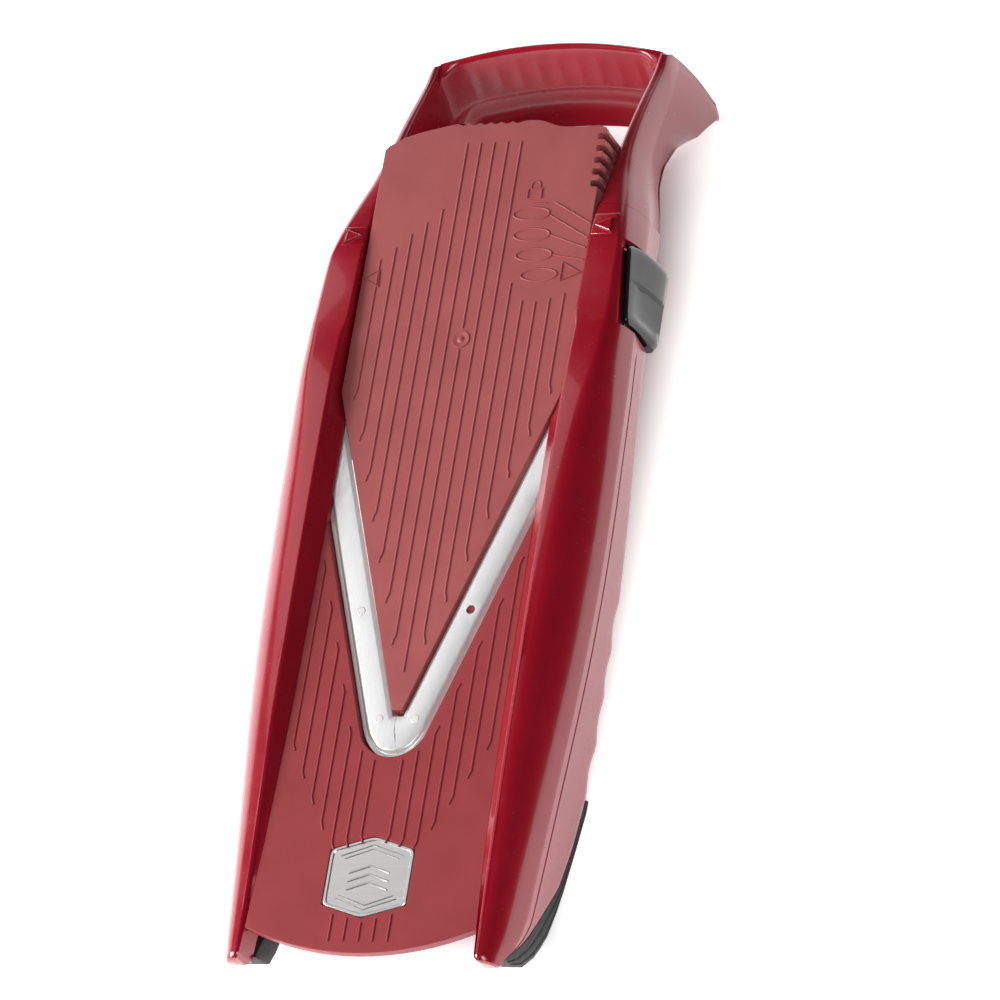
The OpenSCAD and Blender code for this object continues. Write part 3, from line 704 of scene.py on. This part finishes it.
# ---- frame tabs beside the insert's scale, with a triangle on each ----
def rail_top(y):
    return ridge_z(y) - 0.2


def scale_tab(name, low, high, outer, triangle, mirror):
    """A raised tab on a rail from y low to high, with a triangle on it."""
    tab = Builder()
    stations = [(low, 0.4), (low + 0.6, 0)]
    stations += [(y, 0) for y in spread(low + 1, high - 1, 2)]
    stations += [(high - 0.6, 0), (high, 0.4)]
    inner, rings = 46.8, []
    for y, sink in stations:
        z = rail_top(y) + 0.3 - sink
        rings.append([(inner, y, z - 2.4), (inner, y, z - 0.15), (inner + 0.3, y, z),
                      (outer - 0.8, y, z), (outer, y, z - 0.8), (outer, y, z - 2.4)])
    tab.loft(rings)
    middle = (sum(p[0] for p in triangle) / 3, sum(p[1] for p in triangle) / 3)
    rings = []
    for size, up in ((1.0, 0.4), (1.0, 0.95), (0.86, 1.15)):
        ring = []
        for px, py in triangle:
            qx = middle[0] + (px - middle[0]) * size
            qy = middle[1] + (py - middle[1]) * size
            ring.append((qx, qy, rail_top(qy) + up))
        rings.append(ring)
    tab.loft(rings)
    add_mesh(name, tab, FRAME, "frame", sharp=30, mirror=mirror)


scale_tab("right_scale_tab", 193.2, 203.4, 56.4, ((47.8, 197.5), (54.6, 194.6), (54.4, 200.7)),
          False)
scale_tab("left_scale_tab", 193, 202, 56, ((47.9, 197.3), (54.4, 194.4), (54.2, 200.2)), True)


# ---- blades ----
BLADE_TOP_Y, NOSE_FLAT_Y = 128, 1.1
SEAM_TURN, SEAM_RUN = (-0.5, -4.7), (3.3, -10.9)
SHEET_STEPS, TURN_STEPS = 30, 22  # rings along a blade's straight part and round its nose
LOWER_HOLE, MIDDLE_HOLE, HOLE_R = (7.16, 0), (22, 43), 1.75


def seam_point(radius, side):
    """Where the seam between the blades crosses a circle round the nose."""
    low, high = 0.0, 3.0
    for _ in range(40):
        t = (low + high) / 2
        dx, dy = SEAM_TURN[0] + SEAM_RUN[0] * t, SEAM_TURN[1] + SEAM_RUN[1] * t - NOSE_Y
        low, high = (t, high) if math.hypot(dx, dy) < radius else (low, t)
    return (side * (SEAM_TURN[0] + SEAM_RUN[0] * low) + 0.06, SEAM_TURN[1] + SEAM_RUN[1] * low)


def drilled(obj, place, radius, side):
    """Cuts a round hole through a sheet and keeps the result as its mesh."""
    b = Builder()
    b.prism(arc(*place, radius, 0, 360, 40)[:-1], -4, 4)
    cutter = add_mesh("drill", b, obj.data.materials[0], "frame",
                      mirror=side < 0)
    hole = obj.modifiers.new("holes", "BOOLEAN")
    hole.operation = "DIFFERENCE"
    hole.object = cutter
    bpy.context.view_layer.update()
    cut = bpy.data.meshes.new_from_object(
        obj.evaluated_get(bpy.context.evaluated_depsgraph_get()))
    obj.modifiers.remove(hole)
    obj.data = cut
    bpy.data.objects.remove(cutter)


# offset from the cutting edge, height of the top, height of the underside
BLADE_PROFILE = [(0, -0.42, -0.5), (1.5, -0.02, -0.8), (1.7, 0, -0.8), (3.4, 0, -0.8),
                 (8.9, 0, -0.8), (9.3, -0.1, -0.95), (9.7, -0.4, -1.3), (10.1, -1, -1.9),
                 (10.5, -1.3, -2.2), (10.8, -1.4, -2.3), (12.1, -1.4, -2.4), (12.3, -1.6, -2.4)]


def blade_sheet(name, node, side, material):
    """side is 1 for the right blade; the seam leans the other way seen from the left one."""
    stations = []
    reach = (BLADE_TOP_Y - NOSE_Y) / COS_E
    nose_s = (NOSE_FLAT_Y - NOSE_Y + NOSE_R * SIN_E) / COS_E
    seam_x = side * SEAM_TURN[0] + 0.06
    for i in range(SHEET_STEPS + 1):
        s = reach - (reach - nose_s) * i / SHEET_STEPS
        ring = []
        for d, _, _ in BLADE_PROFILE:
            r = NOSE_R + d
            ring.append((r * COS_E + s * SIN_E, NOSE_Y - r * SIN_E + s * COS_E))
        stations.append(ring)
    for i in range(1, TURN_STEPS + 1):
        part = i / TURN_STEPS
        ring = []
        for k, (d, _, _) in enumerate(BLADE_PROFILE):
            r = NOSE_R + d
            end = seam_point(r, side) if r > 3.3 else SEAM_TURN
            last = math.atan2(end[1] - NOSE_Y, end[0])
            if k < 4:
                # between the flat end of the V and the seam's upper, straight part
                share = k / 3
                start = stations[SHEET_STEPS][k]
                goal = (seam_x, NOSE_FLAT_Y + (SEAM_TURN[1] - NOSE_FLAT_Y) * share)
                x = start[0] + (goal[0] - start[0]) * part
                y = start[1] + (goal[1] - start[1]) * part
                sag = math.sin(math.pi * part) * share * 1.2
                ring.append((x + sag * 0.5, y - sag))
                continue
            s = nose_s * max(0.0, 1 - 2 * part)
            angle = -EDGE_ANGLE + (last + EDGE_ANGLE) * part
            ring.append((r * math.cos(angle) + s * SIN_E,
                         NOSE_Y + r * math.sin(angle) + s * COS_E))
        stations.append(ring)
    rings = []
    for ring in stations:
        top = [(min(x, inner_x(y) - 0.05), y, BLADE_PROFILE[k][1])
               for k, (x, y) in enumerate(ring)]
        under = [(x, y, BLADE_PROFILE[k][2]) for k, (x, y, _) in enumerate(top)]
        rings.append(top + under[::-1])
    # only the clean stretch round the middle hole is drilled; the rest joins on afterwards
    middle, rest = Builder(), Builder()
    middle.loft(rings[21:15:-1])
    rest.loft(rings[:20:-1])
    rest.loft(rings[16::-1])
    obj = add_mesh(name, middle, material, "frame",
                   (node,), sharp=24, mirror=side < 0)
    drilled(obj, MIDDLE_HOLE, HOLE_R, side)
    extra = add_mesh("rest", rest, material, "frame",
                     mirror=side < 0)
    whole = bmesh.new()
    whole.from_mesh(obj.data)
    whole.from_mesh(extra.data)
    whole.to_mesh(obj.data)
    whole.free()
    obj.data.set_sharp_from_angle(angle=math.radians(24))
    bpy.data.objects.remove(extra)


blade_sheet("left_blade_sheet", "left_blade", -1, STEEL_LEFT)
blade_sheet("right_blade_sheet", "right_blade", 1, STEEL_RIGHT)


heads = Builder()
for x, y in (LOWER_HOLE, (-LOWER_HOLE[0], LOWER_HOLE[1]), (-MIDDLE_HOLE[0], MIDDLE_HOLE[1])):
    heads.disc(x, y, [(1.7, -0.82), (1.7, 0.02), (1.55, 0.14), (1.25, 0.16), (1.15, 0.08),
                      (0.6, 0.12)])
add_mesh("blade_rivets", heads, PALE, "frame", ("blade_pins",), sharp=40)
peg = Builder()
peg.disc(*MIDDLE_HOLE, [(1.65, -0.82), (1.65, -0.7), (1.5, -0.6), (0.8, -0.56), (0.6, -0.75)])
add_mesh("blade_peg", peg, RUNWAY, "frame", sharp=40)

# ---- badge: a stamped hexagon with a rim and plain chevrons ----
BADGE_CORNER, BADGE_SHOULDER, CORNER_STEPS = 2.2, 10.6, 4


def hexagon(grow):
    """Pointy-ended hexagon with rounded corners."""
    h, side_y, tip_y = BADGE_HALF + grow, BADGE_SHOULDER + grow / 2, BADGE_TIP + grow
    corners = [(-h, -side_y), (0, -tip_y), (h, -side_y), (h, side_y), (0, tip_y), (-h, side_y)]
    points = []
    for i, c in enumerate(corners):
        p = Vector(c)
        before = (Vector(corners[i - 1]) - p).normalized()
        after = (Vector(corners[(i + 1) % 6]) - p).normalized()
        cut = max(0.4, BADGE_CORNER + grow * 0.4)
        for k in range(CORNER_STEPS + 1):
            t = k / CORNER_STEPS
            q = (p + before * cut) * (1 - t) ** 2 + p * 2 * t * (1 - t) + (p + after * cut) * t ** 2
            points.append((q.x, BADGE_Y + q.y))
    return points


BADGE_FACE = 0.95
badge = Builder()
badge.loft([[(x, y, z) for x, y in hexagon(grow)] for grow, z in
            ((0, 0.1), (0, 1.05), (-0.3, 1.25), (-1.1, 1.25), (-1.5, BADGE_FACE))])
for flip in (1, -1):
    for inset, reach in ((3.2, 9.6), (4.8, 8.0)):
        tip_y = BADGE_TIP - inset
        end_x, end_y = reach + 2.6, BADGE_Y + flip * (tip_y - reach * 0.3 - 1.3)
        badge.line([(-end_x, end_y), (0, BADGE_Y + flip * tip_y), (end_x, end_y)],
                   width=0.6, height=0.28, z=BADGE_FACE)
for k in range(3):
    y = BADGE_Y + 3.4 - k * 3.2
    badge.line([(-8, y - 1.8), (0, y + 0.9), (8, y - 1.8)], width=1.0, height=0.3,
               z=BADGE_FACE)
add_mesh("badge_plate", badge, SILVER, "frame", ("badge",),
         sharp=24)


# ---- feet ----
def foot_z(y):
    """Lower face of a foot: ribbed, and level where it rests on the table."""
    table = [(-91, -9), (-88.6, -17), (-86.4, -24.9), (-80, -31.5), (-75.7, -34),
             (-66, -37.8), (-55.4, -41), (-45, -42.8), (-22, -43.4), (-16, -41.4)]
    return min(skirt_z(y) - 0.6, max(floor_z(y), wave(y + 2, 0.9) + lookup(y, table)))


def foot_section(y):
    x, top, low = side_x(y) - DRAFT, skirt_z(y) - 0.1, foot_z(y)
    tall = top - low
    outer = []
    for k in range(13):
        part = k / 12
        groove = 0.45 if k in (4, 8) else 0.0
        rounded = 1.1 * max(0.0, part - 0.8) / 0.2
        outer.append((x - 0.2 + 0.35 * math.sin(math.pi * part) - groove - rounded,
                      top - tall * part))
    return [(px, y, pz) for px, pz in
            outer + [(x - 1.9, low), (x - 7.4, low), (x - 8.6, low + min(0.8, tall / 3)),
                     (x - 9.4, (top + low) / 2), (x - 9, top)]]


pad = Builder()
pad.loft([foot_section(y) for y in spread(-89, -16, 1.5)])
add_mesh("right_foot_pad", pad, RUBBER, "frame",
         ("right_foot",), sharp=28)
add_mesh("left_foot_pad", pad, RUBBER, "frame",
         ("left_foot",), sharp=28, mirror=True)

keep_cad("pivot_pin", PIN, 0.2)
keep_cad("latch_cover", LATCH, 0.25)
keep_cad("cover_screws", PIN, 0.15)

# ---- insert ----
NOTCH_PITCH, PAWL_Y, NOTCH_DEEP, NOTCH_WIDE = 5, 236.2, 3, 2.6
BITE_PITCH, BITE_COUNT, BITE_X, BITE_Y = 4.5, 6, 10.5, 244.5  # under the fingertips
TIP_HALF = 2.1
UNDERSIDE = INSERT_RISE - INSERT_THICK


def insert_edge_y(x):
    """Where the insert's V edge crosses x, on the right side."""
    return EDGE_Y0 + EDGE_GAP / SIN_E + SLOPE * x


def insert_outline():
    points = [(x, insert_edge_y(x)) for x in (TIP_HALF, INSERT_HALF)]
    # hook-shaped notches, from the lowest up
    deep, half = INSERT_HALF - NOTCH_DEEP, NOTCH_WIDE / 2
    for k in range(4, -1, -1):
        y = PAWL_Y - k * NOTCH_PITCH
        points += [(INSERT_HALF, y - half - 0.5), (INSERT_HALF - 0.5, y - half),
                   (deep + 0.5, y - half), (deep, y - half + 0.5), (deep, y + half - 0.4),
                   (deep + 0.4, y + half), (INSERT_HALF, y + half)]
    points += [(INSERT_HALF, 239.3), (44.9, 239.9), (42.3, 240.9), (38, 240.7), (32, 240.8),
               (25.9, 241.3), (22, 242.7), (19.3, 243.8), (17, 244.4), (13, 244.6)]
    # shallow bites
    for k in range(BITE_COUNT):
        x = BITE_X - k * BITE_PITCH
        for part in (0.1, 0.3, 0.5, 0.7, 0.9):
            points.append((x - BITE_PITCH * part, BITE_Y - 0.9 * math.sin(math.pi * part)))
        points.append((x - BITE_PITCH, BITE_Y))
    points += [(-17.4, 244.3), (-20.5, 243.8), (-24, 243.1), (-28, 242.3), (-32.2, 241.4),
               (-38.1, 239.6), (-43.9, 236.4), (-INSERT_HALF, 234.6)]
    return points + [(-x, insert_edge_y(x)) for x in (INSERT_HALF, TIP_HALF)]


face = Builder()
face.prism(insert_outline(), UNDERSIDE, INSERT_RISE)
add_mesh("insert_face", face, INSERT, "insert", ("insert_plate",), sharp=30,
         bevel=0.3)

# walls along the V and three cross ribs stiffen the underside
under = Builder()
for side in (-1, 1):
    wall = [(side * TIP_HALF, insert_edge_y(TIP_HALF)), (side * 42, insert_edge_y(42)),
            (side * 40.3, insert_edge_y(42)), (side * 0.2, insert_edge_y(0) + 1.6 / SIN_E + 1)]
    under.prism(wall if side > 0 else wall[::-1], -5, UNDERSIDE + 0.01)
for y in (148, 190, 228):
    under.prism([(-43.2, y), (39.8, y), (39.8, y + 1.6), (-43.2, y + 1.6)], -5,
                UNDERSIDE + 0.01)
add_mesh("insert_underside", under, INSERT, "insert", sharp=30, bevel=0.2)

# ribs, by number from the middle; those without a top of their own run to RIB_TOP
RIB_STEP, RIB_TOP = 5.59, 235.5
RIB_TOPS = {-7: 187.4, -6: 192.4, -5: 197.8, -4: 202.5, -3: 207.7, 3: 175.4, 4: 167.8, 5: 167.1,
            6: 168.4, 7: 170.3}
RIB_LOWS = [17.9, 28.8, 45.6, 61.9, 78.7, 95.2, 111.7, 128.9]
DIMPLE_Y = 152.7

marks = Builder()
for k in range(-7, 8):
    x, side = k * RIB_STEP, math.copysign(1, k)
    low, high = RIB_LOWS[abs(k)], RIB_TOPS.get(k, RIB_TOP)
    if k == 0:
        # the middle rib stops on both sides of the dimple
        marks.line([(x, low), (x, DIMPLE_Y - 4.3)], height=0.42)
        marks.line([(x, DIMPLE_Y + 4.5), (x, high)], height=0.42)
    else:
        marks.line([(x + side, low - 0.2), (x + side * 0.8, low + 1.8),
                    (x + side * 0.25, low + 3), (x, low + 4.5), (x, high)], height=0.42)


def oval(cx, cy, wide, tall):
    return [(cx + wide / 2 * math.cos(a), cy + tall / 2 * math.sin(a))
            for a in (2 * math.pi * i / 40 for i in range(40))]


# the height scale: four ovals, lines from them to the edge, and a triangle on each side
for cx, cy in ((20.4, 204.3), (21.9, 195.4), (24.1, 186.9), (27.5, 178.4)):
    marks.line(oval(cx, cy, 14.6, 5.2), width=0.9, height=0.45, closed=True)
for start, end in (((19.5, 208.6), (26, 208.6)), ((29.4, 208.8), (45, 199.4)),
                   ((28.2, 203.4), (44.9, 193.3)), ((29.7, 195), (44.8, 189.1)),
                   ((31.9, 186.6), (44.8, 184.1)), ((35.3, 178.5), (43.4, 178.8))):
    marks.line([start, end], width=0.7, height=0.4)
for points in (((44.4, 178.6), (36.6, 183.2), (36.6, 175.6)),
               ((-44.7, 179.7), (-38.6, 183.0), (-38.0, 176.1))):
    marks.line(points, width=0.9, height=0.5, closed=True)
# a padlock outline marks the locked height
marks.line([(17.6, 210.8), (23.2, 210.8), (23.2, 214.8), (17.6, 214.8)], width=0.8, height=0.45,
           closed=True)
marks.line([(18.6, 214.8), (18.6, 216.2)] + arc(20.4, 216.2, 1.8, 180, 0, 10) + [(22.2, 214.8)],
           width=0.7, height=0.42)
# moulding dimple with its pip
marks.disc(0, DIMPLE_Y, [(r, INSERT_RISE + z) for r, z in
                         ((3.7, -0.1), (3.5, 0.35), (3.1, 0.4), (2.5, 0.12), (1.4, 0.08),
                          (0.9, 0.5), (0.4, 0.6))], n=36)
add_mesh("insert_lines", marks, INSERT, "insert", ("insert_ribs",), sharp=40)

keep_cad("left_runner", INSERT, 0.25)
keep_cad("right_runner", INSERT, 0.25)
keep_cad("insert_rack", INSERT, 0.2)

# ---- release lever ----
BUTTON_X = side_x(90) + 1.4  # a little proud of the frame's widest place


def button_section(y):
    """x and z round the button; the thumb's hollow fills the lower half of its face."""
    hollow = 1.5 * lookup(y, [(160.5, 0), (163.5, 0.85), (168, 1), (175.4, 1), (176.4, 0)])
    ends = lookup(y, [(158, 1), (159.2, 0.3), (161, 0), (187.6, 0), (189.6, 0.35), (190.6, 1)])
    out = BUTTON_X - 1.6 * ends
    top = 0.6 - 2.2 * ends
    side = notch_x(y) + 0.8
    band = [(0, top - 1.6), (0.3, top - 0.5), (0.9, top), (1.5, top - 0.1), (2.0, top - 0.7)]
    start = side + 2.3
    face = [(0.0, top - 1.6, 0.0), (0.28, -4.6, 0.4), (0.52, -8, 1), (0.74, -12, 1),
            (0.89, -16.5, 0.9), (1.0, -20.5, 0.6), (0.98, -23.5, 0.1)]
    return ([(60.6, -24), (side, -12)] + [(side + dx, z) for dx, z in band]
            + [(start + (out - start) * f - hollow * deep, z) for f, z, deep in face]
            + [(out - 1.2, -25.4), (out - 2.4, -26), (62.2, -26), (61, -25.4)])


# closer sections where the ends round off and where the hollow begins
button_ys = [158, 158.3, 158.7, 159.2] + spread(160, 175, 1.25)
button_ys += [175.4, 175.7, 176.1, 176.4] + spread(177, 187.5, 1.5)
button_ys += [188.4, 189.6, 190.2, 190.6]
button = Builder()
button.loft([[(x, y, z) for x, z in button_section(y)] for y in button_ys])
# web behind the button, inside the rail
button.prism([(55.4, 161), (60.8, 161), (60.8, 189.6), (55.4, 189.6)], -8.5, -3.4)
add_mesh("button_shell", button, BLACK, "lever",
         ("release_button",), sharp=38)
keep_cad("latch_lever", LATCH, 0.3)

WIRE_R, COIL_R, COIL_RISE, LEG_REACH = 0.42, 2.15, 1.36, 11.0
COIL_LOW = PIVOT.z + 2.1
FIRST_LEG, LAST_LEG = math.radians(-91), math.radians(-74)


def coil_path(steps=60):
    """Two turns round the pivot, with a straight leg at each end."""
    sweep = 4 * math.pi + (LAST_LEG - FIRST_LEG)
    spots = [(LEG_REACH, FIRST_LEG, 0)]
    spots += [(COIL_R, FIRST_LEG + sweep * i / steps, COIL_RISE * i / steps)
              for i in range(steps + 1)]
    spots.append((LEG_REACH, LAST_LEG, COIL_RISE))
    return [Vector((PIVOT.x + r * math.cos(a), PIVOT.y + r * math.sin(a),
                    COIL_LOW + WIRE_R + rise)) for r, a, rise in spots]


def tube(path, radius, n=10):
    b, up = Builder(), Vector((0, 0, 1))
    rings = []
    for i, p in enumerate(path):
        along = (path[min(i + 1, len(path) - 1)] - path[max(i - 1, 0)]).normalized()
        side = along.cross(up).normalized()
        high = side.cross(along)
        rings.append([tuple(p + side * radius * math.cos(2 * math.pi * k / n)
                            + high * radius * math.sin(2 * math.pi * k / n)) for k in range(n)])
    b.loft(rings)
    return b


add_mesh("return_spring_coil", tube(coil_path(), WIRE_R), PIN, "lever",
         ("return_spring",), sharp=50)

# ---- floor, light and world ----
FLOOR_HALF = 6.0


def pale_floor():
    """White, and glowing except under the slicer, where its contact shade shows."""
    f = Finish("studio_floor_pale", Specular_IOR_Level=0.1)
    f.colour(f.noise(3, 2), (0.93, 0.93, 0.93), (0.95, 0.95, 0.95))
    f.roughness(f.noise(8, 2), 0.75, 0.85)
    f.shader.inputs["Emission Color"].default_value = (1, 1, 1, 1)
    split = f.tree.nodes.new("ShaderNodeSeparateXYZ")
    f.link(f.coords, split.inputs["Vector"])
    parts = []
    for axis, near, far in (("X", 0.035, 0.075), ("Y", 0.15, 0.2)):
        size = f.tree.nodes.new("ShaderNodeMath")
        size.operation = "ABSOLUTE"
        f.link(split.outputs[axis], size.inputs[0])
        rise = f.tree.nodes.new("ShaderNodeMapRange")
        rise.interpolation_type = "SMOOTHSTEP"
        rise.inputs["From Min"].default_value = near
        rise.inputs["From Max"].default_value = far
        f.link(size.outputs[0], rise.inputs["Value"])
        parts.append(rise.outputs["Result"])
    outside = f.tree.nodes.new("ShaderNodeMath")
    outside.operation = "MAXIMUM"
    f.link(parts[0], outside.inputs[0])
    f.link(parts[1], outside.inputs[1])
    f.link(outside.outputs[0], f.shader.inputs["Emission Strength"])
    return f.material


ground = bpy.data.meshes.new("studio_floor")
z = FLOOR_Z - 0.0002
ground.from_pydata([(-FLOOR_HALF, -FLOOR_HALF, z), (FLOOR_HALF, -FLOOR_HALF, z),
                    (FLOOR_HALF, FLOOR_HALF, z), (-FLOOR_HALF, FLOOR_HALF, z)], [], [(0, 1, 2, 3)])
ground.materials.append(pale_floor())
studio_floor = bpy.data.objects.new("studio_floor", ground)
bpy.context.scene.collection.objects.link(studio_floor)


def area_light(name, place, power, wide, tall):
    """A white panel that faces the slicer."""
    data = bpy.data.lights.new(name, "AREA")
    data.shape = "RECTANGLE"
    data.size, data.size_y, data.energy = wide, tall, power
    light = bpy.data.objects.new(name, data)
    light.location = place
    light.rotation_euler = (-Vector(place)).to_track_quat("-Z", "Y").to_euler()
    bpy.context.scene.collection.objects.link(light)


area_light("key_front_left", (-1.7, -0.6, 1.05), 54, 1.0, 1.0)
area_light("top_back_left", (-0.95, 0.5, 1.3), 3.0, 0.6, 1.2)
area_light("fill_front_right", (0.6, -0.9, 1.2), 9, 0.7, 0.7)


def flag():
    """A dark card off to the right keeps the right shoulders deep red."""
    mesh = bpy.data.meshes.new("dark_flag")
    mesh.from_pydata([(0.5, -0.5, 0.0), (0.5, 0.9, 0.0), (0.5, 0.9, 0.4), (0.5, -0.5, 0.4)], [],
                     [(0, 1, 2, 3)])
    mesh.materials.append(dull_dark("flag_cloth", (0.01, 0.01, 0.01), (0.015, 0.015, 0.015),
                                    0.85, 0.95, 600))
    obj = bpy.data.objects.new("dark_flag", mesh)
    bpy.context.scene.collection.objects.link(obj)
    obj.visible_camera = False  # only what it darkens is seen


flag()


# ---- world: dark above, bright low down behind and to the left ----
class Sky:
    def __init__(self):
        self.world = bpy.data.worlds.new("studio")
        self.world.use_nodes = True
        self.tree = self.world.node_tree
        self.direction = self.tree.nodes.new("ShaderNodeTexCoord").outputs["Generated"]

    def math(self, kind, a, b):
        node = self.tree.nodes.new("ShaderNodeMath")
        node.operation = kind
        for socket, value in zip(node.inputs, (a, b)):
            if isinstance(value, (int, float)):
                socket.default_value = value
            else:
                self.tree.links.new(value, socket)
        return node.outputs[0]

    def towards(self, aim, start, full):
        """Rises smoothly from 0 to 1 as the direction nears aim."""
        dot = self.tree.nodes.new("ShaderNodeVectorMath")
        dot.operation = "DOT_PRODUCT"
        dot.inputs[1].default_value = Vector(aim).normalized()
        self.tree.links.new(self.direction, dot.inputs[0])
        rise = self.tree.nodes.new("ShaderNodeMapRange")
        rise.interpolation_type = "SMOOTHSTEP"
        rise.inputs["From Min"].default_value = start
        rise.inputs["From Max"].default_value = full
        self.tree.links.new(dot.outputs["Value"], rise.inputs["Value"])
        return rise.outputs["Result"]


sky = Sky()
low = sky.towards((0, 0, -1), -0.4, -0.12)
behind = sky.math("MULTIPLY", low, sky.towards((-0.25, 1, 0), 0.1, 0.7))
left = sky.math("MULTIPLY", low, sky.towards((-1, 0.1, 0), 0.2, 0.8))
glow = sky.math("ADD", sky.math("MULTIPLY", behind, 1.3), sky.math("MULTIPLY", left, 1.2))
strength = sky.math("ADD", glow, 0.05)  # a faint light from everywhere
background = sky.tree.nodes["Background"]
sky.tree.links.new(strength, background.inputs["Strength"])
background.inputs["Color"].default_value = (1, 1, 1, 1)
bpy.context.scene.world = sky.world
bpy.context.scene.view_settings.view_transform = "Standard"
